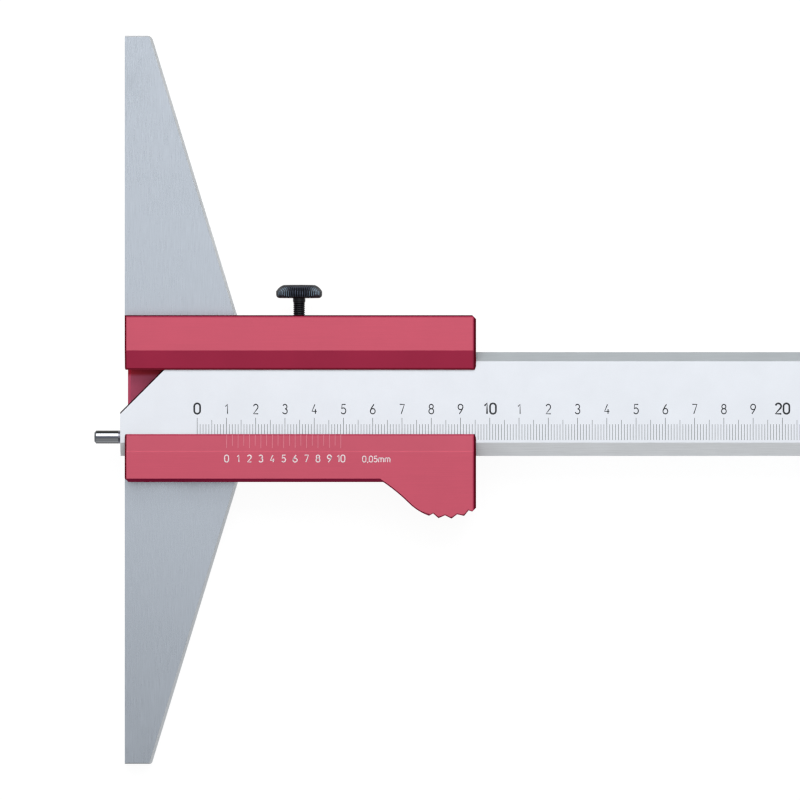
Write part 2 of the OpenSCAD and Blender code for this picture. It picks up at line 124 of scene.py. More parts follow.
class Wiring:
    """A node tree, with short calls for what the finishes and the room share.

    A mask is a value from 0 to 1. A fade is a pair: the reading up to which a mask is 0, and the one from
    which it is 1.
    """

    def __init__(self, tree: bpy.types.NodeTree) -> None:
        """Start with the coordinates.

        Args:
            tree: the node tree of a material or of the world.
        """
        self.tree = tree
        self.place = self.add("ShaderNodeTexCoord")

    def add(self, kind: str, **settings: object) -> bpy.types.Node:
        """Add a node.

        Args:
            kind: Blender's name of the node type.
            settings: properties to set on the node.

        Returns:
            The new node.
        """
        node = self.tree.nodes.new(kind)
        for key, value in settings.items():
            setattr(node, key, value)
        return node

    def feed(self, socket: Socket, value: Socket | float | Colour) -> None:
        """Link a socket to another, or set its value.

        Args:
            socket: the input.
            value: an output to link, a number or a colour.
        """
        if isinstance(value, bpy.types.NodeSocket):
            self.tree.links.new(value, socket)
        elif isinstance(value, tuple):
            socket.default_value = (*value, 1.0)
        else:
            socket.default_value = value

    def part(self, sense: Sense, axis: Axis) -> Socket:
        """One coordinate of what a mask reads.

        Args:
            sense: the place, the way that a face looks, or the direction in the room.
            axis: which coordinate.

        Returns:
            The coordinate, in metres for a place.
        """
        split = self.add("ShaderNodeSeparateXYZ")
        self.feed(split.inputs[0], self.place.outputs[sense.value])
        return split.outputs[axis.value]

    def span(self, value: Socket, low: float, high: float, first: float = 0.0, last: float = 1.0) -> Socket:
        """Map a range of a value to another range, and hold it there.

        Args:
            value: what is mapped.
            low: the value that gives first.
            high: the value that gives last.
            first: result at low.
            last: result at high.

        Returns:
            The mapped value.
        """
        node = self.add("ShaderNodeMapRange", clamp=True)
        numbers = {"From Min": low, "From Max": high, "To Min": first, "To Max": last}
        for key, number in numbers.items():
            node.inputs[key].default_value = number
        self.feed(node.inputs["Value"], value)
        return node.outputs["Result"]

    def reckon(self, kind: Sum, *values: Socket | float) -> Socket:
        """Arithmetic on one or two values.

        Args:
            kind: the operation.
            values: the operands.

        Returns:
            The result.
        """
        node = self.add("ShaderNodeMath", operation=kind.value)
        for socket, value in zip(node.inputs, values):
            self.feed(socket, value)
        return node.outputs["Value"]

    def facing(self, axis: Axis, fade: Fade) -> Socket:
        """Mask the faces that look one way along an axis."""
        return self.span(self.part(Sense.FACING, axis), *fade)

    def square(self, axis: Axis, fade: Fade) -> Socket:
        """Mask the faces that look along an axis, either way."""
        return self.span(self.reckon(Sum.SIZE, self.part(Sense.FACING, axis)), *fade)

    def past(self, axis: Axis, fade: Fade) -> Socket:
        """Mask what lies past a place on an axis, in metres."""
        return self.span(self.part(Sense.PLACE, axis), *fade)

    def between(self, share: Socket, first: Socket | float, last: Socket | float) -> Socket:
        """Go from one number to another.

        Args:
            share: 0 gives the first number and 1 the last.
            first: a number.
            last: a number.

        Returns:
            The number between them.
        """
        node = self.add("ShaderNodeMix", data_type="FLOAT")
        self.feed(node.inputs["Factor"], share)
        self.feed(node.inputs["A"], first)
        self.feed(node.inputs["B"], last)
        return node.outputs["Result"]

    def blend(self, share: Socket, first: Socket | Colour, last: Socket | Colour) -> Socket:
        """Blend two colours.

        Args:
            share: 0 gives the first colour and 1 the last.
            first: a colour.
            last: a colour.

        Returns:
            The blended colour.
        """
        node = self.add("ShaderNodeMix", data_type="RGBA")
        colours = [socket for socket in node.inputs if socket.type == "RGBA"]
        self.feed(node.inputs["Factor"], share)
        self.feed(colours[0], first)
        self.feed(colours[1], last)
        return next(socket for socket in node.outputs if socket.type == "RGBA")

    def lay(self, ground: Socket | Colour, *coats: tuple[Socket, Socket | Colour]) -> Socket | Colour:
        """Lay colours over a ground, one on another.

        Args:
            ground: the colour below them.
            coats: pairs of a mask and the colour that it lets through, the lowest first.

        Returns:
            The colour that shows.
        """
        for mask, colour in coats:
            ground = self.blend(mask, ground, colour)
        return ground


class Recipe(Wiring):
    """The node tree of one material."""

    noise_range: Fade = (0.25, 0.75)

    def __init__(self, name: str) -> None:
        """Start a material.

        Args:
            name: the material's name.
        """
        self.material = bpy.data.materials.new(name)
        self.material.use_nodes = True
        super().__init__(self.material.node_tree)
        self.surface = self.tree.nodes["Principled BSDF"]

    def noise(self, pitch: float, grain: Grain = Grain.EVEN, detail: float = 2.0) -> Socket:
        """Noise that is fixed to the piece.

        Args:
            pitch: size of its features across the grain, in metres.
            grain: the direction in which the features are drawn out.
            detail: octaves of finer noise.

        Returns:
            A value that stays round one half.
        """
        mapping = self.add("ShaderNodeMapping")
        mapping.inputs["Scale"].default_value = [1 / (pitch * stretch) for stretch in grain.value]
        self.feed(mapping.inputs["Vector"], self.place.outputs[Sense.PLACE.value])
        noise = self.add("ShaderNodeTexNoise")
        noise.inputs["Scale"].default_value = 1.0
        noise.inputs["Detail"].default_value = detail
        self.feed(noise.inputs["Vector"], mapping.outputs["Vector"])
        return noise.outputs["Fac"]

    def tint(self, colour: Socket | Colour, value: Socket, spread: float) -> Socket:
        """Lighten and darken a colour by a value.

        Args:
            colour: what is tinted.
            value: a noise round one half.
            spread: share of the colour that is lost or won at the ends of the noise's usual range.

        Returns:
            The tinted colour.
        """
        node = self.add("ShaderNodeHueSaturation")
        self.feed(node.inputs["Value"], self.span(value, *self.noise_range, 1 - spread, 1 + spread))
        self.feed(node.inputs["Color"], colour)
        return node.outputs["Color"]

    def relief(self, *layers: tuple[Socket, float]) -> None:
        """Raise the surface by heights.

        Args:
            layers: pairs of a value and the height in metres that it stands for.
        """
        below: Socket | None = None
        for value, height in layers:
            bump = self.add("ShaderNodeBump")
            bump.inputs["Distance"].default_value = height
            self.feed(bump.inputs["Height"], value)
            if below is not None:
                self.feed(bump.inputs["Normal"], below)
            below = bump.outputs["Normal"]
        self.feed(self.surface.inputs["Normal"], below)


@dataclass(frozen=True)
class Finish:
    """A metal's surface: its colour and lustre, and the marks that the tool or the bath left."""

    name: str
    colour: Colour
    metallic: float
    roughness: float
    grain: Grain = Grain.EVEN
    mark_pitch: float = 0.14 * MM
    mark_detail: float = 3.0
    mark_tint: float = 0.05
    mark_height: float = 0.002 * MM
    cloud_pitch: float = 9 * MM
    cloud_tint: float = 0.03
    cloud_rise: float = 4.0
    roughness_range: Fade = (0.3, 0.7)
    roughness_spread: float = 0.06

    def shade(self, recipe: Recipe, colour: Socket | Colour) -> Socket | Colour:
        """Change the base colour by place. The plain finish leaves it."""
        return colour

    def metal(self, recipe: Recipe) -> Socket | float:
        """Change how metallic the surface is by place. The plain finish is even."""
        return self.metallic

    def lustre(self, recipe: Recipe, rough: Socket) -> Socket:
        """Change the roughness by place. The plain finish leaves it."""
        return rough

    def material(self) -> bpy.types.Material:
        """Make the material, or find it if it is made.

        Returns:
            The material of this finish.
        """
        made = bpy.data.materials.get(self.name)
        if made is not None:
            return made
        recipe = Recipe(self.name)
        marks = recipe.noise(self.mark_pitch, self.grain, self.mark_detail)
        clouds = recipe.noise(self.cloud_pitch)
        colour = recipe.tint(self.shade(recipe, self.colour), marks, self.mark_tint)
        halves = [recipe.reckon(Sum.TIMES, noise, 0.5) for noise in (marks, clouds)]
        rough = recipe.span(
            recipe.reckon(Sum.PLUS, *halves),
            *self.roughness_range,
            self.roughness - self.roughness_spread,
            self.roughness + self.roughness_spread,
        )
        surface = recipe.surface.inputs
        recipe.feed(surface["Base Color"], recipe.tint(colour, clouds, self.cloud_tint))
        recipe.feed(surface["Metallic"], self.metal(recipe))
        recipe.feed(surface["Roughness"], self.lustre(recipe, rough))
        recipe.relief((marks, self.mark_height), (clouds, self.cloud_rise * self.mark_height))
        return recipe.material


@dataclass(frozen=True)
class SatinAlloy(Finish):
    """The beam: satin faces under the graduation, with smoother milled bevels, ends and edges. The milled faces
    carry painted light and shade by the way that they look, and the slanting cut's rim a painted shadow.
    """

    name: str = "satin_alloy_finish"
    colour: Colour = (0.865, 0.895, 0.95)
    metallic: float = 0.25
    roughness: float = 0.42
    mark_tint: float = 0.03
    cloud_tint: float = 0.02
    satin: Fade = (0.93, 0.97)
    # painted light and shade: milled faces that look towards -Y get the lit colour, the others a darker painted
    # shade
    milled_near: Colour = (0.86, 0.88, 0.90)
    milled_far: Colour = (0.43, 0.46, 0.48)
    far: Fade = (-0.3, -0.1)
    cutter_pitch: float = 0.2 * MM
    cutter_tint: float = 0.06
    # painted shadow: the slanting cut's rim is painted near black
    cut_rim: Colour = (0.015, 0.0, 0.003)
    cut_along: Fade = (-0.3, -0.4)
    cut_across: Fade = (0.25, 0.35)

    def cut(self, recipe: Recipe) -> Socket:
        """Mask the slanting cut and its broken rim."""
        along = recipe.facing(Axis.ALONG, self.cut_along)
        return recipe.reckon(Sum.TIMES, along, recipe.facing(Axis.ACROSS, self.cut_across))

    def metal(self, recipe: Recipe) -> Socket:
        """Make the slanting cut fully metallic; its colour is painted near black as shadow."""
        return recipe.between(self.cut(recipe), self.metallic, 1.0)

    def shade(self, recipe: Recipe, colour: Socket | Colour) -> Socket:
        """Set the milled faces off from the satin ones with painted light and shade by the way that they look, and
        paint the slanting cut's rim near black as shadow.

        Args:
            recipe: the material's nodes.
            colour: the satin faces' colour.

        Returns:
            The colour to use.
        """
        milled = recipe.blend(recipe.facing(Axis.ACROSS, self.far), self.milled_near, self.milled_far)
        lines = recipe.noise(self.cutter_pitch, Grain.ALONG_BEAM)
        # painted shade on the milled faces and a painted shadow on the cut's rim
        return recipe.lay(
            recipe.tint(milled, lines, self.cutter_tint),
            (self.cut(recipe), self.cut_rim),
            (recipe.square(Axis.OUT, self.satin), colour),
        )


@dataclass(frozen=True)
class ThumbRest:
    """The slider's thumb rest: a round nose with notches, and their angles in degrees."""

    centre: Point = (111.6 * MM, -9.6 * MM)
    radius: float = 18.3 * MM
    notches: int = 4
    pitch: float = 13.9
    turn: float = 5.0
    crest_depth: float = 0.45 * MM
    # the band of painted shade on the teeth: its depth in from the nose's rim, and the place across the beam below
    # which it is full
    grip_depth: float = 0.8 * MM
    grip_low: Fade = (-25.2 * MM, -26.2 * MM)


@dataclass(frozen=True)
class Stripe:
    """A narrow stripe over the slider's outer faces, along which painted shade, and in one place a painted
    highlight, is laid.
    """

    axis: Axis
    middle: float
    half: float = 0.42 * MM


@dataclass(frozen=True)
class RedAnodised(Finish):
    """The slider: dyed oxide on drawn alloy, with painted shade in the chamfers, on its bevels, along some edges,
    on the teeth and in the channel, and painted highlights along the crease and at the channel's end.
    """

    name: str = "red_anodised_finish"
    colour: Colour = (0.61, 0.094, 0.149)
    metallic: float = 0.6
    roughness: float = 0.4
    mark_tint: float = 0.035
    mark_height: float = 0.0015 * MM
    cloud_pitch: float = 14 * MM
    draw_pitch: float = 0.35 * MM
    draw_tint: float = 0.025
    outer: Fade = (0.88, 0.90)
    uphill: Fade = (0.25, 0.35)
    # painted shade: the vernier's slope, which leans towards the lamp, is painted darker than the flat faces
    sloped: Colour = (0.49, 0.084, 0.130)
    sloped_roughness: float = 0.62
    downhill: Fade = (-0.25, -0.35)
    # painted shade: the upper lip's bevel, which leans towards -Y
    shaded: Colour = (0.57, 0.033, 0.096)
    # painted shadow: a dark stripe at the foot of the upper lip's bevel, over the beam
    bevel_foot: Stripe = Stripe(Axis.ACROSS, 23.3 * MM)
    bevel_brim: Colour = (0.25, 0.002, 0.022)
    # painted highlight: a paler stripe along the crease between the lower lip's flat face and the vernier's slope
    rubbed_edge: Stripe = Stripe(Axis.ACROSS, -5.1 * MM, 0.45 * MM)
    rubbed: Colour = (0.60, 0.100, 0.154)
    # painted shade: dark stripes along the vernier's thin edge, the upper edge and the right-hand end
    brims: tuple[Stripe, ...] = (
        Stripe(Axis.ACROSS, 1.0 * MM, 0.6 * MM),
        Stripe(Axis.ACROSS, 41.2 * MM),
        Stripe(Axis.ALONG, 120.75 * MM),
    )
    brim: Colour = (0.40, 0.026, 0.075)
    thumb_rest: ThumbRest = ThumbRest()
    # painted shade on the teeth's crests
    grip: Colour = (0.16, 0.006, 0.022)
    # painted shade: the steep chamfers are painted dark, a little less on those that look towards -Y
    steep: Fade = (0.88, 0.80)
    far: Fade = (-0.5, -0.3)
    edge: Colour = (0.155, 0.0005, 0.013)
    edge_near: Colour = (0.195, 0.006, 0.034)
    # painted shade in the channel: the recessed floor is painted darker, with a painted highlight on its end
    # chamfer and a painted shadow under the upper lip
    channel_depth: Fade = (5.15 * MM, 5.05 * MM)
    channel_floor: Fade = (0.5, 0.6)
    channel: Colour = (0.435, 0.067, 0.131)
    channel_end: Fade = (-0.60, -0.66)
    channel_rim: Colour = (0.60, 0.090, 0.170)
    under_lip: Fade = (20.6 * MM, 21.8 * MM)
    channel_deep: Colour = (0.34, 0.006, 0.022)

    def slope(self, recipe: Recipe, lean: Fade) -> Socket:
        """Mask the gently sloping outer faces that lean one way across the beam."""
        return recipe.reckon(Sum.TIMES, recipe.facing(Axis.ACROSS, lean), recipe.facing(Axis.OUT, self.outer))

    def stripes(self, recipe: Recipe, *stripes: Stripe) -> Socket:
        """Mask narrow stripes over the outer faces.

        Args:
            recipe: the material's nodes.
            stripes: the stripes.

        Returns:
            1 on the stripes, falling off to 0 at their borders.
        """
        mask: Socket | float = 0.0
        for stripe in stripes:
            away = recipe.reckon(Sum.LESS, recipe.part(Sense.PLACE, stripe.axis), stripe.middle)
            near = recipe.span(recipe.reckon(Sum.SIZE, away), stripe.half, stripe.half / 2)
            mask = recipe.reckon(Sum.LARGER, near, mask)
        return recipe.reckon(Sum.TIMES, mask, recipe.facing(Axis.OUT, self.outer))

    def teeth(self, recipe: Recipe) -> Socket:
        """Mask the crests of the thumb rest's teeth, where shade is painted.

        Args:
            recipe: the material's nodes.

        Returns:
            1 at the crests, falling off to 0 towards the middle of the nose.
        """
        rest = self.thumb_rest
        squares: list[Socket] = []
        for axis, middle in zip((Axis.ALONG, Axis.ACROSS), rest.centre):
            away = recipe.reckon(Sum.LESS, recipe.part(Sense.PLACE, axis), middle)
            squares.append(recipe.reckon(Sum.TIMES, away, away))
        reach = recipe.reckon(Sum.ROOT, recipe.reckon(Sum.PLUS, *squares))
        outer = recipe.span(reach, rest.radius - rest.grip_depth, rest.radius - rest.grip_depth / 2)
        return recipe.reckon(Sum.TIMES, outer, recipe.past(Axis.ACROSS, rest.grip_low))

    def inside(self, recipe: Recipe) -> Socket:
        """Colour the channel with painted shade: a painted shadow under the upper lip, and a painted highlight on
        the chamfer at its end.

        Args:
            recipe: the material's nodes.

        Returns:
            The channel's colour.
        """
        return recipe.lay(
            self.channel,
            (recipe.facing(Axis.ALONG, self.channel_end), self.channel_rim),
            (recipe.past(Axis.ACROSS, self.under_lip), self.channel_deep),
        )

    def shade(self, recipe: Recipe, colour: Socket | Colour) -> Socket:
        """Draw lines along the slider, paint shade on its chamfers, its bevels, its edges, its teeth and its
        channel, and paint highlights along the crease and at the channel's end.

        Args:
            recipe: the material's nodes.
            colour: the flat outer faces' colour.

        Returns:
            The colour to use.
        """
        low = recipe.past(Axis.OUT, self.channel_depth)
        within = recipe.reckon(Sum.TIMES, low, recipe.facing(Axis.OUT, self.channel_floor))
        # painted shade on the chamfers
        edge = recipe.blend(recipe.facing(Axis.ACROSS, self.far), self.edge_near, self.edge)
        # painted shade on the slopes, edge stripes, teeth, chamfers and channel, and painted highlights along the
        # crease and at the channel's end
        return recipe.lay(
            recipe.tint(colour, recipe.noise(self.draw_pitch, Grain.ALONG_BEAM), self.draw_tint),
            (self.slope(recipe, self.uphill), self.sloped),
            (self.slope(recipe, self.downhill), self.shaded),
            (self.stripes(recipe, self.rubbed_edge), self.rubbed),
            (self.stripes(recipe, *self.brims), self.brim),
            (self.stripes(recipe, self.bevel_foot), self.bevel_brim),
            (self.teeth(recipe), self.grip),
            (recipe.facing(Axis.OUT, self.steep), edge),
            (within, self.inside(recipe)),
        )

    def metal(self, recipe: Recipe) -> Socket:
        """Make the steep chamfers fully metallic, under their colour that is painted dark as shade."""
        return recipe.between(recipe.facing(Axis.OUT, self.steep), self.metallic, 1.0)

    def lustre(self, recipe: Recipe, rough: Socket) -> Socket:
        """Keep the vernier's slope matt, so that its lines can be read."""
        return recipe.between(self.slope(recipe, self.uphill), rough, self.sloped_roughness)


@dataclass(frozen=True)
class GroundSteel(Finish):
    """The bridge: hardened steel, ground along its length."""

    name: str = "ground_steel_finish"
    colour: Colour = (0.456, 0.497, 0.553)
    metallic: float = 1.0
    roughness: float = 0.29
    grain: Grain = Grain.ALONG_BRIDGE
    mark_pitch: float = 0.24 * MM
    mark_tint: float = 0.08
    cloud_pitch: float = 22 * MM
    ground: Fade = (0.90, 0.97)
    # painted light and shade by the way that each milled face looks: darkest towards -Y, lightest part way towards
    # +Y
    near_end: Colour = (0.34, 0.355, 0.375)
    near_turn: Fade = (-0.6, -0.4)
    near_side: Colour = (0.58, 0.60, 0.62)
    middle: Fade = (-0.1, 0.1)
    far_side: Colour = (0.93, 0.96, 0.99)
    far_turn: Fade = (0.4, 0.6)
    far_end: Colour = (0.70, 0.72, 0.75)

    def shade(self, recipe: Recipe, colour: Socket | Colour) -> Socket:
        """Set off the sides and chamfers, which are milled and not ground, in four greys of painted light and
        shade, by the way that each looks.

        Args:
            recipe: the material's nodes.
            colour: the ground faces' colour.

        Returns:
            The colour to use.
        """
        # painted light and shade on the milled faces
        near = recipe.blend(recipe.facing(Axis.ACROSS, self.near_turn), self.near_end, self.near_side)
        far = recipe.blend(recipe.facing(Axis.ACROSS, self.far_turn), self.far_side, self.far_end)
        milled = recipe.blend(recipe.facing(Axis.ACROSS, self.middle), near, far)
        return recipe.blend(recipe.square(Axis.OUT, self.ground), milled, colour)


@dataclass(frozen=True)
class PolishedChrome(Finish):
    """The measuring pin."""

    name: str = "polished_chrome_finish"
    colour: Colour = (0.56, 0.58, 0.61)
    metallic: float = 1.0
    roughness: float = 0.1
    grain: Grain = Grain.ALONG_BEAM
    mark_tint: float = 0.03
    mark_height: float = 0.0004 * MM
    roughness_spread: float = 0.03
    # painted reflections: each way that a face of the pin looks gets its own colour
    far_turn: Fade = (0.60, 0.68)
    far_side: Colour = (0.05, 0.052, 0.05)
    near_turn: Fade = (-0.40, -0.58)
    near_side: Colour = (0.31, 0.32, 0.34)
    edge_turn: Fade = (-0.76, -0.84)
    near_edge: Colour = (0.06, 0.06, 0.065)
    band_near: Fade = (-0.24, -0.12)
    band_far: Fade = (0.18, 0.10)
    horizon: Colour = (0.135, 0.145, 0.178)
    tip_turn: Fade = (-0.3, -0.5)
    tip: Colour = (0.10, 0.11, 0.12)
    # a darker ring at the root, where the pin leaves the beam
    root_place: Fade = (-0.85 * MM, -0.75 * MM)
    root: Colour = (0.17, 0.17, 0.20)

    def shade(self, recipe: Recipe, colour: Socket | Colour) -> Socket:
        """Paint the reflections: darker on both sides, on the near edge, in a band along the front and at the tip,
        and darker in a ring at the root where the pin leaves the beam.

        Args:
            recipe: the material's nodes.
            colour: the front's colour.

        Returns:
            The colour to use.
        """
        bounds = [recipe.facing(Axis.ACROSS, fade) for fade in (self.band_near, self.band_far)]
        # painted reflections on the pin, and the darker ring at its root
        return recipe.lay(
            colour,
            (recipe.facing(Axis.ACROSS, self.far_turn), self.far_side),
            (recipe.facing(Axis.ACROSS, self.near_turn), self.near_side),
            (recipe.facing(Axis.ACROSS, self.edge_turn), self.near_edge),
            (recipe.reckon(Sum.TIMES, *bounds), self.horizon),
            (recipe.facing(Axis.ALONG, self.tip_turn), self.tip),
            (recipe.past(Axis.ALONG, self.root_place), self.root),
        )


@dataclass(frozen=True)
class BlackOxide(Finish):
    """The lock screw: blackened steel."""

    name: str = "black_oxide_finish"
    colour: Colour = (0.012, 0.013, 0.018)
    metallic: float = 0.4
    roughness: float = 0.32
    grain: Grain = Grain.ROUND_SCREW
    mark_tint: float = 0.25
    mark_height: float = 0.004 * MM
    cloud_pitch: float = 2.5 * MM
    cloud_tint: float = 0.2


@dataclass(frozen=True)
class WornOxide(BlackOxide):
    """The crests of the head's knurls, where the oxide is worn to a blue grey, under a painted sheen."""

    name: str = "worn_oxide_and_sheen_finish"
    colour: Colour = (0.26, 0.36, 0.46)
    metallic: float = 0.85
    roughness: float = 0.24
    mark_tint: float = 0.3
    cloud_pitch: float = 1.8 * MM
    cloud_tint: float = 0.35
    # painted sheen: crests lighter part way round to the sides, darker at the front, and painted dark shade on the
    # outermost at both sides
    side: Fade = (0.36, 0.52)
    front: Colour = (0.070, 0.085, 0.125)
    outermost: Fade = (0.52, 0.38)
    rim: Colour = (0.010, 0.011, 0.014)

    def shade(self, recipe: Recipe, colour: Socket | Colour) -> Socket:
        """Paint the crests' sheen brighter at both sides than at the front, and paint the outermost crests dark as
        shade.
        """
        # painted sheen and shade on the worn crests
        rubbed = recipe.blend(recipe.square(Axis.ALONG, self.side), self.front, colour)
        return recipe.blend(recipe.square(Axis.OUT, self.outermost), rubbed, self.rim)


@dataclass(frozen=True)
class BrightTurned(Finish):
    """The small screws and the dowels."""

    name: str = "bright_turned_finish"
    colour: Colour = (0.55, 0.56, 0.58)
    metallic: float = 1.0
    roughness: float = 0.28
    mark_tint: float = 0.08
    cloud_pitch: float = 2 * MM
    cloud_tint: float = 0.05


@dataclass(frozen=True)
class MilledBrass(Finish):
    """The gib strip and the pressure pad."""

    name: str = "milled_brass_finish"
    colour: Colour = (0.72, 0.52, 0.23)
    metallic: float = 1.0
    roughness: float = 0.32
    grain: Grain = Grain.ALONG_BEAM
    mark_tint: float = 0.08
    cloud_tint: float = 0.06


@dataclass(frozen=True)
class LineFill(Finish):
    """Paint wiped into the engraved lines and figures."""

    name: str = "dark_fill_finish"
    colour: Colour = (0.022, 0.026, 0.032)
    metallic: float = 0.0
    roughness: float = 0.55
    mark_pitch: float = 0.08 * MM
    mark_tint: float = 0.12
    cloud_pitch: float = 1.5 * MM
    cloud_tint: float = 0.1


def deselect() -> None:
    """Leave edit mode and select nothing."""
    active = bpy.context.object
    if active is not None and active.mode != "OBJECT":
        bpy.ops.object.mode_set(mode="OBJECT")
    bpy.ops.object.select_all(action="DESELECT")


def take(piece: Piece) -> None:
    """Select one piece alone and make it the active one.

    Args:
        piece: the piece to work on.
    """
    deselect()
    piece.select_set(True)
    bpy.context.view_layer.objects.active = piece


def open_up(piece: Piece) -> None:
    """Enter edit mode with all of a piece selected.

    Args:
        piece: the piece to work on.
    """
    take(piece)
    bpy.ops.object.mode_set(mode="EDIT")
    bpy.ops.mesh.select_all(action="SELECT")


def edit(piece: Piece, part: Part, chosen: Callable[[bmesh.types.BMFace | bmesh.types.BMEdge], bool]) -> None:
    """Enter edit mode with only some faces or edges of a piece selected.

    Args:
        piece: the piece to work on.
        part: whether faces or edges are selected.
        chosen: tells whether a face or edge is to be selected.
    """
    take(piece)
    bpy.ops.object.mode_set(mode="EDIT")
    bpy.ops.mesh.select_mode(type=part.value)
    bpy.ops.mesh.select_all(action="DESELECT")
    mesh = bmesh.from_edit_mesh(piece.data)
    for item in mesh.faces if part is Part.FACE else mesh.edges:
        item.select_set(chosen(item))
    bmesh.update_edit_mesh(piece.data)


def turn_outwards(piece: Piece) -> None:
    """Turn all faces of a closed piece outwards.

    Args:
        piece: the piece.
    """
    open_up(piece)
    bpy.ops.mesh.normals_make_consistent(inside=False)
    deselect()


def settle(piece: Piece) -> Piece:
    """Apply a piece's place, turn and scale to its mesh.

    Args:
        piece: the piece.

    Returns:
        The same piece, with its object at the origin.
    """
    take(piece)
    bpy.ops.object.transform_apply(location=True, rotation=True, scale=True)
    return piece


def repeat(piece: Piece, count: int, step: float) -> Piece:
    """Repeat a piece along the beam.

    Args:
        piece: the piece to copy.
        count: how many there are in the end.
        step: distance from one to the next, in metres.

    Returns:
        The same piece, now with all the copies.
    """
    take(piece)
    row = piece.modifiers.new("row", "ARRAY")
    row.count = count
    row.use_relative_offset = False
    row.use_constant_offset = True
    row.constant_offset_displace = (step, 0.0, 0.0)
    bpy.ops.object.modifier_apply(modifier=row.name)
    return piece


def join(parts: Sequence[Piece], name: str) -> Piece:
    """Join pieces into the first of them.

    Args:
        parts: the pieces.
        name: name of the joined piece.

    Returns:
        The joined piece.
    """
    take(parts[0])
    for part in parts[1:]:
        part.select_set(True)
    bpy.ops.object.join()
    parts[0].name = name
    parts[0].data.name = name
    return parts[0]


def bring_in(name: str, data: bpy.types.ID) -> Piece:
    """Put an object into the scene.

    Args:
        name: its name.
        data: its mesh, curve, lamp or camera.

    Returns:
        The new object.
    """
    piece = bpy.data.objects.new(name, data)
    bpy.context.scene.collection.objects.link(piece)
    return piece


def dress(piece: Piece, finish: Finish) -> None:
    """Give a piece one finish all over.

    Args:
        piece: a new piece or a node of the frame.
        finish: its finish.
    """
    if not piece.material_slots:
        piece.data.materials.append(None)
    for slot in piece.material_slots:
        slot.material = finish.material()


def held(value: float) -> float:
    """A value, held between 0 and 1."""
    return min(1.0, max(0.0, value))


def arc(centre: Point, radius: Point, start: float, end: float, steps: int = 12) -> list[Point]:
    """Points along an arc of an ellipse.

    Args:
        centre: its centre.
        radius: its half width and half height.
        start: angle of the first point, in degrees.
        end: angle of the last point, in degrees.
        steps: number of pieces that the arc is cut into.

    Returns:
        The points, from start to end.
    """
    turns = [math.radians(start + (end - start) * i / steps) for i in range(steps + 1)]
    return [(centre[0] + radius[0] * math.cos(t), centre[1] + radius[1] * math.sin(t)) for t in turns]


def half_turn(strokes: list[list[Point]], width: float) -> list[list[Point]]:
    """Turn the strokes of a figure of height 1 by half a turn about its middle."""
    return [[(width - x, 1 - y) for x, y in stroke] for stroke in strokes]


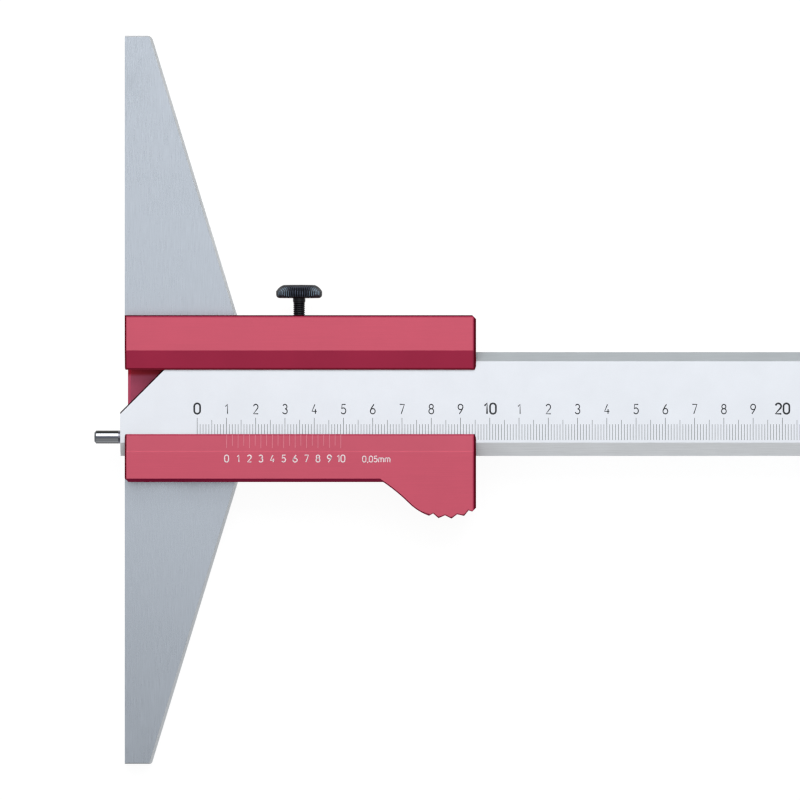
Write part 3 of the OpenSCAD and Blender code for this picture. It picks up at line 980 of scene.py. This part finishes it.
class Figures:
    """Plain engraver's figures of height 1, each drawn with strokes of even width."""

    width = 0.58
    six = [
        arc((0.29, 0.285), (0.275, 0.27), 180, 540, 24),
        [(0.43, 0.99), (0.22, 0.72), (0.08, 0.47), (0.02, 0.31)],
    ]
    strokes: dict[str, list[list[Point]]] = {
        "0": [
            [
                *arc((0.29, 0.71), (0.27, 0.27), 0, 180),
                *arc((0.29, 0.29), (0.27, 0.27), 180, 360),
                (0.56, 0.71),
            ],
        ],
        "1": [[(0.10, 0.76), (0.33, 0.98), (0.33, 0.02)]],
        "2": [[*arc((0.29, 0.72), (0.26, 0.26), 165, -38), (0.03, 0.02), (0.57, 0.02)]],
        "3": [
            arc((0.28, 0.745), (0.24, 0.235), 155, -85),
            arc((0.28, 0.275), (0.27, 0.255), 85, -160),
        ],
        "4": [[(0.37, 0.98), (0.03, 0.27), (0.58, 0.27)], [(0.43, 0.50), (0.43, 0.02)]],
        "5": [[(0.53, 0.98), (0.13, 0.98), (0.08, 0.55), *arc((0.27, 0.32), (0.28, 0.30), 125, -150)]],
        "6": six,
        "7": [[(0.03, 0.98), (0.56, 0.98), (0.20, 0.02)]],
        "8": [
            arc((0.29, 0.755), (0.225, 0.225), 0, 360, 24),
            arc((0.29, 0.28), (0.27, 0.26), 0, 360, 24),
        ],
        "9": half_turn(six, width),
        ",": [[(0.12, 0.08), (0.11, -0.02), (0.05, -0.14)]],
        "m": [
            [(0.04, 0.0), (0.04, 0.70)],
            [*arc((0.24, 0.49), (0.20, 0.20), 180, 0, 8), (0.44, 0.0)],
            [*arc((0.64, 0.49), (0.20, 0.20), 180, 0, 8), (0.84, 0.0)],
        ],
    }
    widths = {"1": 0.42, ",": 0.16, "m": 0.88}
    spacing = 0.17

    def __init__(self, stroke: float, proud: float, narrow: float = 1.0) -> None:
        """Choose the pen.

        Args:
            stroke: width of a stroke, as a share of the figure's height.
            proud: how far the fill stands above the face, as a share of the figure's height.
            narrow: share to which the figures are drawn together sideways.
        """
        self.stroke = stroke
        self.proud = proud
        self.narrow = narrow
        self.cut: dict[str, bpy.types.Mesh] = {}

    def breadth(self, text: str) -> float:
        """Width of a text of height 1."""
        inked = sum(self.widths.get(char, self.width) for char in text)
        return self.narrow * (inked + self.spacing * (len(text) - 1))

    def sign(self, char: str) -> bpy.types.Mesh:
        """Draw one sign once, as flattened closed strokes.

        Args:
            char: the figure or letter.

        Returns:
            Its mesh, of height 1, with its lower left corner at the origin.
        """
        if char in self.cut:
            return self.cut[char]
        line = bpy.data.curves.new(f"sign_{ord(char)}", "CURVE")
        line.dimensions = "3D"
        line.bevel_depth = self.stroke / 2
        line.bevel_resolution = 1
        line.use_fill_caps = True
        for stroke in self.strokes[char]:
            closed = math.dist(stroke[0], stroke[-1]) < self.stroke / 10
            points = stroke[:-1] if closed else stroke
            spline = line.splines.new("POLY")
            spline.points.add(len(points) - 1)
            for point, (x, y) in zip(spline.points, points):
                point.co = (x, y, 0.0, 1.0)
            spline.use_cyclic_u = closed
        take(bring_in(line.name, line))
        bpy.ops.object.convert(target="MESH")
        drawn = bpy.context.object
        drawn.scale = (1.0, 1.0, 2 * self.proud / self.stroke)
        turn_outwards(settle(drawn))
        self.cut[char] = drawn.data
        bpy.data.objects.remove(drawn)
        return self.cut[char]

    def write(self, text: str, height: float, middle: Vector) -> Piece:
        """Set a short text, centred.

        Args:
            text: figures and letters.
            height: height of a figure, in metres.
            middle: where the middle of its lower edge goes.

        Returns:
            The text as one piece.
        """
        pen = middle.x - height * self.breadth(text) / 2
        parts: list[Piece] = []
        for char in text:
            part = bring_in(f"text_{char}", self.sign(char).copy())
            part.location = (pen, middle.y, middle.z)
            part.scale = (height * self.narrow, height, height)
            parts.append(settle(part))
            pen += height * self.narrow * (self.widths.get(char, self.width) + self.spacing)
        return join(parts, f"text_{text}")


@dataclass
class Graduation:
    """What the main scale and the vernier share: filled lines with a slightly narrower top."""

    line_depth: float = 0.05 * MM
    line_proud: float = 0.012 * MM
    top_share: float = 0.75

    def line(self, width: float, length: float) -> Piece:
        """Cut one line at the origin, along Y, in the plane Z = 0.

        Args:
            width: its width, in metres.
            length: its length, in metres.

        Returns:
            The line, as a closed bar sunk in the plane.
        """
        deselect()
        bpy.ops.mesh.primitive_cube_add(
            size=1.0,
            location=(0.0, length / 2, -self.line_depth / 2),
            scale=(width, length, self.line_depth),
        )
        bar = settle(bpy.context.object)
        edit(bar, Part.FACE, lambda face: face.normal.z > 0.5)
        bpy.ops.mesh.extrude_region_move(TRANSFORM_OT_translate={"value": (0.0, 0.0, self.line_proud)})
        bpy.ops.transform.resize(value=(self.top_share, 1.0, 1.0), center_override=(0.0, length / 2, 0.0))
        deselect()
        return bar

    def put(self, bar: Piece, place: Vector, slope: float = 0.0) -> Piece:
        """Move a line to its place.

        Args:
            bar: the line.
            place: where its lower end goes.
            slope: fall of its face towards +Y, in radians.

        Returns:
            The line in its place.
        """
        bar.location = place
        bar.rotation_euler = (-slope, 0.0, 0.0)
        return settle(bar)


@dataclass
class MainScale(Graduation):
    """The millimetre scale engraved in the beam."""

    line_fill: LineFill = LineFill(name="grey_fill_finish", colour=(0.065, 0.075, 0.072))
    figure_fill: LineFill = LineFill()
    zero: float = 26.31 * MM
    first_y: float = -1.0 * MM
    centimetres: int = 34
    width: float = 0.15 * MM
    tall_share: float = 1.15
    short: float = 5.4 * MM
    medium: float = 6.9 * MM
    tall: float = 7.6 * MM
    figure_y: float = 7.9 * MM
    figure_height: float = 3.35 * MM
    decade_height: float = 3.7 * MM
    face: float = field(init=False)

    def __post_init__(self) -> None:
        """Find the graduated face."""
        self.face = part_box("beam")[1].z

    def lines(self) -> Piece:
        """Cut the lines: four short ones to a half centimetre, then a medium and a tall one by turns.

        Returns:
            The lines as one piece.
        """
        start = Vector((self.zero, self.first_y, self.face))
        millimetre = Vector((MM, 0.0, 0.0))
        short = self.put(self.line(self.width, self.short), start + millimetre)
        short = repeat(repeat(short, 4, MM), 2 * self.centimetres, 5 * MM)
        medium = self.put(self.line(self.width, self.medium), start + 5 * millimetre)
        medium = repeat(medium, self.centimetres, 10 * MM)
        tall = self.put(self.line(self.width * self.tall_share, self.tall), start)
        tall = repeat(tall, self.centimetres + 1, 10 * MM)
        return join([short, medium, tall], "main_scale_lines")

    def figures(self) -> Piece:
        """Write the centimetres: the tens in full and bold, and the others by their last figure.

        Returns:
            The figures as one piece.
        """
        light = Figures(stroke=0.12, proud=0.004, narrow=0.89)
        bold = Figures(stroke=0.165, proud=0.004)
        texts: list[Piece] = []
        for centimetre in range(self.centimetres + 1):
            spot = Vector((self.zero + centimetre * 10 * MM, self.figure_y, self.face))
            if centimetre % 10:
                texts.append(light.write(str(centimetre % 10), self.figure_height, spot))
            else:
                texts.append(bold.write(str(centimetre), self.decade_height, spot))
        return join(texts, "main_scale_figures")

    def build(self) -> list[Piece]:
        """Build and dress the scale.

        Returns:
            Its lines and its figures.
        """
        made = [self.lines(), self.figures()]
        for piece, fill in zip(made, (self.line_fill, self.figure_fill)):
            dress(piece, fill)
            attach(piece, "beam")
        return made


@dataclass
class Vernier(Graduation):
    """The vernier on the slider's lower lip: 39 millimetres in 20 parts, so that it reads to 0.05 mm."""

    line_fill: LineFill = LineFill(name="faint_fill_finish", colour=(0.68, 0.26, 0.32))
    figure_fill: LineFill = LineFill(name="pale_fill_finish", colour=(0.93, 0.74, 0.77))
    parts: int = 20
    length: float = 39 * MM
    width: float = 0.13 * MM
    short: float = 4.1 * MM
    long: float = 5.0 * MM
    rise: float = 2.5 * MM
    bevel: float = 6.0 * MM
    edge_y: float = 1.0 * MM
    edge_gap: float = 0.12 * MM
    figure_y: float = -8.55 * MM
    figure_height: float = 2.45 * MM
    unit: str = "0,05mm"
    unit_x: float = 87.55 * MM
    unit_height: float = 2.1 * MM
    zero: float = field(init=False)
    top: float = field(init=False)

    def __post_init__(self) -> None:
        """Find the lip and the reading, at which the vernier's zero stands past the main scale's."""
        slide = next(joint for joint in frame["joints"] if joint["name"] == "depth_slide")
        self.zero = MainScale.zero - slide["range_m"][0]
        self.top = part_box("slider_body")[1].z

    def lines(self) -> Piece:
        """Cut the lines into the sloping edge, every second one longer.

        Returns:
            The lines as one piece.
        """
        slope = math.atan2(self.rise, self.bevel)
        pitch = self.length / self.parts
        rows: list[Piece] = []
        for reach, first, count in ((self.long, 0, self.parts // 2 + 1), (self.short, 1, self.parts // 2)):
            end_y = self.edge_y - self.edge_gap - reach * math.cos(slope)
            end_z = self.top - (end_y - self.edge_y + self.bevel) * math.tan(slope)
            spot = Vector((self.zero + first * pitch, end_y, end_z))
            rows.append(repeat(self.put(self.line(self.width, reach), spot, slope), count, 2 * pitch))
        return join(rows, "vernier_lines")

    def figures(self) -> Piece:
        """Write 0 to 10 under the longer lines, and the reading that one part stands for.

        Returns:
            The figures as one piece.
        """
        pen = Figures(stroke=0.18, proud=0.005)
        pitch = 2 * self.length / self.parts
        texts = [
            pen.write(str(i), self.figure_height, Vector((self.zero + i * pitch, self.figure_y, self.top)))
            for i in range(self.parts // 2 + 1)
        ]
        texts.append(pen.write(self.unit, self.unit_height, Vector((self.unit_x, self.figure_y, self.top))))
        return join(texts, "vernier_figures")

    def build(self) -> list[Piece]:
        """Build and dress the vernier.

        Returns:
            Its lines and its figures.
        """
        made = [self.lines(), self.figures()]
        for piece, fill in zip(made, (self.line_fill, self.figure_fill)):
            dress(piece, fill)
            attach(piece, "slider")
        return made


@dataclass
class EasedNode:
    """A node's own shape with its sharp edges eased, as they are on a deburred part."""

    node: str
    body: str
    finish: Finish
    slot: str
    ease: float = 0.09 * MM
    segments: int = 2
    sharp: float = 20.0
    smooth: float = 46.0
    merge: float = 0.0005 * MM
    flat: float = 0.2
    area_weight: int = 100

    def reshape(self, piece: Piece) -> None:
        """Move points of the copied mesh before it is merged. The plain node keeps its shape."""

    def trim(self, piece: Piece) -> None:
        """Break edges of the merged mesh. The plain node has none to break."""

    def weld(self, piece: Piece) -> None:
        """Merge the points of a piece that lie on top of each other, and stay in edit mode."""
        open_up(piece)
        bpy.ops.mesh.remove_doubles(threshold=self.merge)

    def build(self) -> Piece:
        """Copy the node's mesh, merge its triangles and ease its edges.

        Returns:
            The piece that stands for the node.
        """
        piece = bring_in(f"{self.node}_eased", frame["nodes"][self.node].data.copy())
        self.reshape(piece)
        self.weld(piece)
        bpy.ops.mesh.customdata_custom_splitnormals_clear()
        bpy.ops.mesh.dissolve_limited(angle_limit=math.radians(self.flat))
        deselect()
        self.trim(piece)
        take(piece)
        bevel = piece.modifiers.new("ease", "BEVEL")
        bevel.width = self.ease
        bevel.segments = self.segments
        bevel.limit_method = "ANGLE"
        bevel.angle_limit = math.radians(self.sharp)
        bevel.use_clamp_overlap = True
        bpy.ops.object.modifier_apply(modifier=bevel.name)
        self.weld(piece)
        take(piece)
        bpy.ops.object.shade_smooth_by_angle(angle=math.radians(self.smooth))
        weigh = piece.modifiers.new("weigh", "WEIGHTED_NORMAL")
        weigh.mode = "FACE_AREA"
        weigh.weight = self.area_weight
        weigh.keep_sharp = True
        bpy.ops.object.modifier_apply(modifier=weigh.name)
        dress(piece, self.finish)
        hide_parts(self.node)
        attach(piece, self.body)
        return piece


@dataclass
class Beam(EasedNode):
    """The beam, whose slanting cut has its upper rim broken."""

    node: str = "beam"
    body: str = "beam"
    finish: Finish = SatinAlloy()
    slot: str = "satin_alloy"
    rim: float = 0.42 * MM
    cut_facing: tuple[float, float, float] = (-1.0, 1.0, 0.0)
    cut_cosine: float = 0.99

    def trim(self, piece: Piece) -> None:
        """Break the slanting cut's upper rim.

        Args:
            piece: the merged mesh.
        """
        facing = Vector(self.cut_facing).normalized()
        top = max(vertex.co.z for vertex in piece.data.vertices)

        def on_rim(edge: bmesh.types.BMEdge) -> bool:
            """Tell whether an edge lies between the graduated face and the slanting cut."""
            level = all(abs(vertex.co.z - top) < self.merge for vertex in edge.verts)
            return level and any(face.normal.dot(facing) > self.cut_cosine for face in edge.link_faces)

        edit(piece, Part.EDGE, on_rim)
        bpy.ops.mesh.bevel(offset=self.rim, offset_type="OFFSET", segments=1, affect="EDGES")
        deselect()


@dataclass
class Slider(EasedNode):
    """The slider's body, whose thumb rest has pointed teeth."""

    node: str = "slider_body"
    body: str = "slider"
    finish: Finish = RedAnodised()
    slot: str = "red_anodised"
    ease: float = 0.13 * MM
    thumb_rest: ThumbRest = ThumbRest()

    def reshape(self, piece: Piece) -> None:
        """Draw each crest between two notches together into a point.

        Args:
            piece: the copied mesh.
        """
        rest = self.thumb_rest
        nose_x, nose_y = rest.centre
        first = rest.turn - 90 - (rest.notches - 1) / 2 * rest.pitch
        for vertex in piece.data.vertices:
            along, across = vertex.co.x - nose_x, vertex.co.y - nose_y
            reach = math.hypot(along, across)
            tooth = math.floor((math.degrees(math.atan2(across, along)) - first) / rest.pitch)
            if reach > rest.radius - rest.crest_depth and 0 <= tooth < rest.notches - 1:
                crest = math.radians(first + (tooth + 0.5) * rest.pitch)
                vertex.co.x = nose_x + reach * math.cos(crest)
                vertex.co.y = nose_y + reach * math.sin(crest)


@dataclass
class LockScrew:
    """The knurled thumb screw, with its real thread.

    The thread's groove is groove_bottom deep in its middle, less flank for each pitch away from there, held
    between 0 and 1 and taken times thread_depth. A knurl's groove sinks from 0 to 1 over knurl_flank, which
    is in shares of half a knurl from the middle of its crest.
    """

    thread_d: float = 4.0 * MM
    thread_depth: float = 0.28 * MM
    pitch: float = 0.7 * MM
    groove_bottom: float = 1.1
    flank: float = 4.2
    tip_share: float = 1.2
    rings_to_pitch: int = 12
    sides: int = 36
    collar_d: float = 4.3 * MM
    collar_l: float = 1.3 * MM
    collar_edge: float = 0.15 * MM
    collar_sunk: float = 0.4 * MM
    head_h: float = 4.5 * MM
    under_round: float = 1.2 * MM
    round_steps: int = 5
    crown_d: float = 10.8 * MM
    crown: float = 2.2 * MM
    crown_swell: float = 0.3 * MM
    crown_steps: int = 8
    knurls: int = 60
    knurl_depth: float = 0.32 * MM
    knurl_corners: int = 6
    knurl_flank: Fade = (0.4, 0.9)
    upper_fade: float = 0.5 * MM
    lower_fade: float = 0.3 * MM
    crest_share: float = 0.45
    crest_rim: float = 0.55 * MM
    smooth: float = 24.0
    axis: Vector = field(init=False)
    tip: float = field(init=False)
    under: float = field(init=False)
    top: float = field(init=False)
    head_d: float = field(init=False)

    def __post_init__(self) -> None:
        """Find the screw's axis, ends and head in the frame."""
        low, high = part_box("lock_screw")
        self.axis = (low + high) / 2
        self.tip = low.y
        self.top = high.y
        self.under = self.top - self.head_h
        self.head_d = high.x - low.x

    def lathe(self, name: str, sides: int, heights: Sequence[float], shape: Radius) -> Piece:
        """Draw a closed solid out along the screw's axis, ring by ring.

        Args:
            name: name of the solid.
            sides: number of points in a ring.
            heights: place of each ring along Y, from the tip's side up.
            shape: radius for a turn in radians and a height.

        Returns:
            The solid in its place.
        """
        deselect()
        bpy.ops.mesh.primitive_circle_add(vertices=sides, radius=1.0, fill_type="NGON")
        solid = bpy.context.object
        solid.name = name
        open_up(solid)
        for _ in heights[1:]:
            bpy.ops.mesh.extrude_region_move(TRANSFORM_OT_translate={"value": (0.0, 0.0, 1.0)})
        deselect()
        for vertex in solid.data.vertices:
            turn = math.atan2(vertex.co.y, vertex.co.x)
            height = heights[round(vertex.co.z)]
            radius = shape(turn, height)
            vertex.co = (
                self.axis.x + radius * math.cos(turn),
                height,
                self.axis.z - radius * math.sin(turn),
            )
        turn_outwards(solid)
        return solid

    def thread(self) -> Piece:
        """Cut the thread, from a chamfered tip to its run-out below the collar.

        Returns:
            The threaded shank.
        """
        end = self.under - self.collar_l / 2
        count = round((end - self.tip) / self.pitch * self.rings_to_pitch)
        heights = [self.tip + (end - self.tip) * i / count for i in range(count + 1)]
        run_out = self.under - self.collar_l

        def radius(turn: float, height: float) -> float:
            """Radius of the thread's 60 degree form, held under the chamfer of the tip.

            Args:
                turn: angle round the axis, in radians.
                height: place along the axis.

            Returns:
                The radius there.
            """
            phase = (height / self.pitch - turn / math.tau) % 1.0
            groove = held(self.groove_bottom - abs(phase - 0.5) * self.flank)
            groove *= held((run_out - height) / self.pitch)
            cut = self.thread_d / 2 - self.thread_depth * groove
            return min(cut, self.thread_d / 2 - self.thread_depth * self.tip_share + (height - self.tip))

        return self.lathe("thread", self.sides, heights, radius)

    def collar(self) -> Piece:
        """Turn the short collar that carries the head.

        Returns:
            The collar, with its upper end sunk in the head.
        """
        low = self.under - self.collar_l
        heights = [low, low + self.collar_edge, low + self.collar_l, low + self.collar_l + self.collar_sunk]
        widths = dict(zip(heights, (self.thread_d, self.collar_d, self.collar_d, self.collar_d)))
        return self.lathe("collar", self.sides, heights, lambda _, height: widths[height] / 2)

    def outline(self) -> list[Point]:
        """Draw the head's outline without its knurls: a round below, and a swelling crown.

        Returns:
            Pairs of a radius and a height, from the head's underside up.
        """
        edge = self.head_d / 2
        corner = (edge - self.under_round, self.under + self.under_round)
        points = arc(corner, (self.under_round, self.under_round), -90, 0, self.round_steps)
        run = self.crown_d / 2 - edge
        chord = math.hypot(run, self.crown)
        for i in range(self.crown_steps + 1):
            share = i / self.crown_steps
            swell = self.crown_swell * math.sin(math.pi * share) / chord
            points.append((
                edge + run * share + self.crown * swell,
                self.top - self.crown * (1 - share) - run * swell,
            ))
        return points

    def head(self) -> Piece:
        """Turn the head, with its straight knurls running up over the crown.

        Returns:
            The head.
        """
        outline = self.outline()
        radii = {height: across for across, height in outline}
        tooth = math.tau / self.knurls
        crest, root = self.knurl_flank

        def radius(turn: float, height: float) -> float:
            """Radius of the outline, less the knurl's groove, which fades out at both rims.

            Args:
                turn: angle round the axis, in radians.
                height: place along the axis.

            Returns:
                The radius there.
            """
            place = abs((turn / tooth) % 1.0 - 0.5) * 2
            fade = held((self.top - height) / self.upper_fade) * held((height - self.under) / self.lower_fade)
            return radii[height] - self.knurl_depth * held((place - crest) / (root - crest)) * fade

        heights = [height for _, height in outline]
        return self.lathe("head", self.knurls * self.knurl_corners, heights, radius)

    def rub(self, head: Piece) -> None:
        """Dress the head, with its crests worn bright under a painted sheen.

        Args:
            head: the knurled head.
        """
        dress(head, BlackOxide())
        head.data.materials.append(WornOxide().material())
        tooth = math.tau / self.knurls

        def on_crest(face: bmesh.types.BMFace) -> bool:
            """Tell whether a face lies on the crest of a knurl.

            Args:
                face: a face of the head.

            Returns:
                True for a side face on a crest, away from both rims.
            """
            spot = face.calc_center_median()
            turn = math.atan2(self.axis.z - spot.z, spot.x - self.axis.x)
            near = abs((turn / tooth) % 1.0 - 0.5) < self.crest_share / 2
            return near and self.under + self.crest_rim < spot.y < self.top - self.crest_rim

        edit(head, Part.FACE, on_crest)
        head.active_material_index = 1
        bpy.ops.object.material_slot_assign()
        deselect()

    def build(self) -> Piece:
        """Build and dress the screw.

        Returns:
            The piece that stands for the lock screw's node.
        """
        head = self.head()
        self.rub(head)
        rest = [self.collar(), self.thread()]
        for part in rest:
            dress(part, BlackOxide())
        screw = join([head, *rest], "lock_screw_threaded")
        take(screw)
        bpy.ops.object.shade_smooth_by_angle(angle=math.radians(self.smooth))
        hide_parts("lock_screw")
        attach(screw, "lock")
        return screw


@dataclass
class Hardware:
    """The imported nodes, and the finish that each material slot of the record gets."""

    finishes: dict[str, Finish] = field(
        default_factory=lambda: {
            "chromed_pin": PolishedChrome(),
            "black_steel": BlackOxide(name="black_steel_finish", grain=Grain.EVEN),
            "bright_screw": BrightTurned(),
            "gib_brass": MilledBrass(),
            "satin_alloy": SatinAlloy(),
            "red_anodised": RedAnodised(),
            "ground_steel": GroundSteel(),
            "black_knob": BlackOxide(),
        }
    )

    def build(self) -> list[Piece]:
        """Dress every node by the material slot that the record gives it.

        Returns:
            The dressed nodes.
        """
        made: list[Piece] = []
        for row in frame["record"]["subparts"]:
            node = frame["nodes"][row["node"]]
            dress(node, self.finishes[row["material_slot"]])
            made.append(node)
        return made


@dataclass(frozen=True)
class SoftLamp:
    """A soft rectangular lamp that the camera doesn't see."""

    name: str
    place: tuple[float, float, float]
    size: tuple[float, float]
    power: float
    target: tuple[float, float, float] = (0.13, 0.02, 0.0)

    def build(self) -> Piece:
        """Hang the lamp and aim it.

        Returns:
            The lamp.
        """
        light = bpy.data.lights.new(self.name, "AREA")
        light.shape = "RECTANGLE"
        light.size, light.size_y = self.size
        light.energy = self.power
        lamp = bring_in(self.name, light)
        lamp.location = self.place
        aim = Vector(self.target) - Vector(self.place)
        lamp.rotation_euler = aim.to_track_quat("-Z", "Y").to_euler()
        lamp.visible_camera = False
        return lamp


@dataclass
class Studio:
    """A pale floor, a large soft lamp beyond the lock screw, a small one overhead and a dim room."""

    floor_half: float = 40.0
    floor_colour: Colour = (0.80, 0.80, 0.81)
    floor_roughness: float = 0.9
    floor_white: float = 0.93
    floor_shadow: Colour = (0.13, 0.13, 0.13)
    lamps: tuple[SoftLamp, ...] = (
        SoftLamp("soft_lamp", place=(0.13, 0.58, 0.66), size=(1.1, 0.66), power=5.2),
        SoftLamp("overhead_lamp", place=(0.13, 0.06, 0.85), size=(0.7, 0.34), power=0.5),
    )
    room_colour: Colour = (0.97, 0.985, 1.0)
    raised: Fade = (0.30, 0.55)
    far: Fade = (-0.35, 0.35)
    near_low: float = 0.60
    far_low: float = 0.12
    near_high: float = 0.32
    far_high: float = 0.66
    filter_width: float = 1.3

    def floor(self) -> Piece:
        """Lay the floor under the gauge's back. To the camera it glows white and still takes shadows.

        Returns:
            The floor.
        """
        deselect()
        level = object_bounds()[0].z
        bpy.ops.mesh.primitive_plane_add(size=2 * self.floor_half, location=(0.0, 0.0, level))
        floor = settle(bpy.context.object)
        floor.name = "floor"
        recipe = Recipe("pale_floor")
        recipe.feed(recipe.surface.inputs["Base Color"], self.floor_colour)
        recipe.feed(recipe.surface.inputs["Roughness"], self.floor_roughness)
        rays = recipe.add("ShaderNodeLightPath")
        seen = recipe.reckon(Sum.LARGER, rays.outputs["Is Camera Ray"], rays.outputs["Is Glossy Ray"])
        seen = recipe.reckon(Sum.LARGER, seen, rays.outputs["Is Transmission Ray"])
        glow = recipe.add("ShaderNodeEmission")
        recipe.feed(glow.inputs["Strength"], self.floor_white)
        matt = recipe.add("ShaderNodeBsdfDiffuse")
        recipe.feed(matt.inputs["Color"], self.floor_shadow)
        both = recipe.add("ShaderNodeAddShader")
        recipe.feed(both.inputs[0], glow.outputs[0])
        recipe.feed(both.inputs[1], matt.outputs[0])
        pick = recipe.add("ShaderNodeMixShader")
        recipe.feed(pick.inputs[0], seen)
        recipe.feed(pick.inputs[1], recipe.surface.outputs[0])
        recipe.feed(pick.inputs[2], both.outputs[0])
        recipe.feed(recipe.tree.nodes["Material Output"].inputs["Surface"], pick.outputs[0])
        floor.data.materials.append(recipe.material)
        floor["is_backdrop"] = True
        return floor

    def room(self) -> bpy.types.World:
        """Light the room: bright low down at the near side, dark low down beyond the lock screw.

        Returns:
            The world.
        """
        world = bpy.data.worlds.new("room")
        world.use_nodes = True
        bpy.context.scene.world = world
        wiring = Wiring(world.node_tree)
        raised = wiring.span(wiring.part(Sense.ROOM, Axis.OUT), *self.raised)
        far = wiring.span(wiring.part(Sense.ROOM, Axis.ACROSS), *self.far)
        low = wiring.between(far, self.near_low, self.far_low)
        high = wiring.between(far, self.near_high, self.far_high)
        background = world.node_tree.nodes["Background"]
        wiring.feed(background.inputs["Strength"], wiring.between(raised, low, high))
        wiring.feed(background.inputs["Color"], self.room_colour)
        return world

    def build(self) -> None:
        """Set the floor, the lamps, the room and the view settings."""
        self.floor()
        for lamp in self.lamps:
            lamp.build()
        self.room()
        scene = bpy.context.scene
        scene.view_settings.view_transform = "Standard"
        scene.cycles.filter_width = self.filter_width


@dataclass
class PhotoCamera:
    """A camera far above the graduated face, so that the gauge shows as a plan."""

    picture: float = 800.0
    scale: float = 2926.0
    origin_px: Point = (120.2, 437.1)
    distance: float = 2.9
    sensor: float = 36.0
    clip_end: float = 200.0

    def build(self) -> Piece:
        """Place the camera so that the beam's face has the photograph's scale.

        Returns:
            The camera.
        """
        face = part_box("beam")[1].z
        centre = self.picture / 2
        data = bpy.data.cameras.new("photo_camera")
        data.type = "PERSP"
        data.sensor_width = self.sensor
        data.lens = self.sensor * self.distance * self.scale / self.picture
        data.clip_end = self.clip_end
        camera = bring_in("photo_camera", data)
        camera.location = (
            (centre - self.origin_px[0]) / self.scale,
            (self.origin_px[1] - centre) / self.scale,
            face + self.distance,
        )
        bpy.context.scene.camera = camera
        return camera


def main() -> None:
    """Build the gauge's looks in order, and report each piece."""
    logging.basicConfig(level=logging.INFO, format="%(name)s: %(message)s")
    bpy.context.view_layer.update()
    PhotoCamera().build()
    pieces = Hardware().build()
    pieces.append(Beam().build())
    pieces.append(Slider().build())
    pieces.append(EasedNode("bridge", "slider", GroundSteel(), "ground_steel", sharp=30.0).build())
    pieces.append(LockScrew().build())
    pieces.extend(MainScale().build())
    pieces.extend(Vernier().build())
    for piece in pieces:
        LOG.info("%s: %d faces", piece.name, len(piece.data.polygons))
    Studio().build()


if __name__ == "__main__":
    main()
